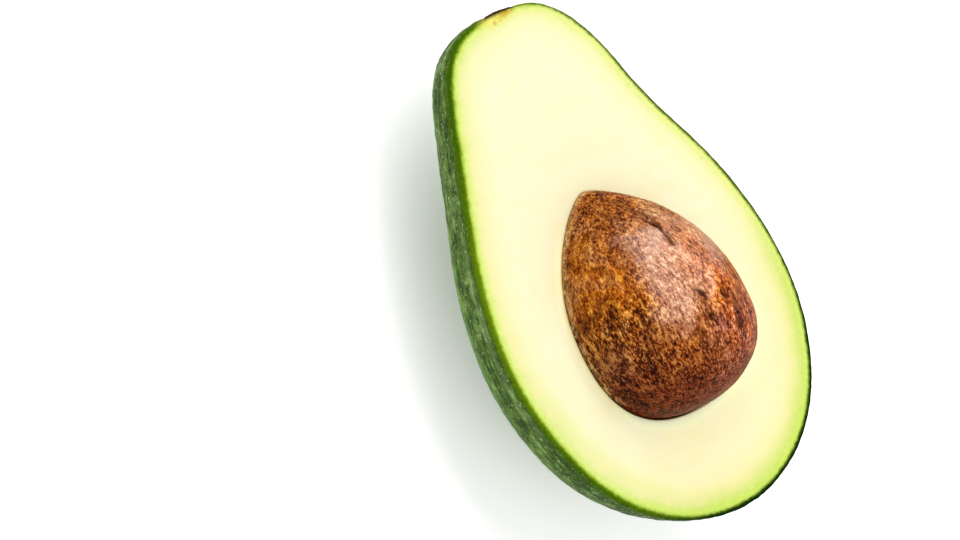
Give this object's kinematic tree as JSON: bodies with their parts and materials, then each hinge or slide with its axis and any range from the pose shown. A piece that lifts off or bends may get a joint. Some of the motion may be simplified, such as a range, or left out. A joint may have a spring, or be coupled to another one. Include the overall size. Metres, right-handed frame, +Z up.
{
  "type": "half avocado with seed",
  "caption": "Pear-shaped avocado cut lengthwise, lying on its back with the cut face up and the seed standing in its cavity.",
  "frame": {"origin": "on the surface the half lies on, under the middle of its length and width", "axes": "+Z up, out of the cut face; +Y along the fruit towards the stem end; +X to the right when the cut face is seen from above with the stem end at the top"},
  "size_m": [0.072, 0.1145, 0.0524],
  "materials": {
    "avocado_skin": "pebbled waxy peel, semi-gloss, pale specks on green",
    "avocado_flesh": "moist soft flesh, cream in the middle, lime green beside the skin",
    "avocado_seed": "moist seed coat, mottled brown, satin",
    "stem_cork": "dry cork, matte"
  },
  "bodies": {
    "root": {"skin": "avocado_skin", "flesh": "avocado_flesh", "seed": "avocado_seed", "stem_button": "stem_cork"}
  },
  "joints": []
}
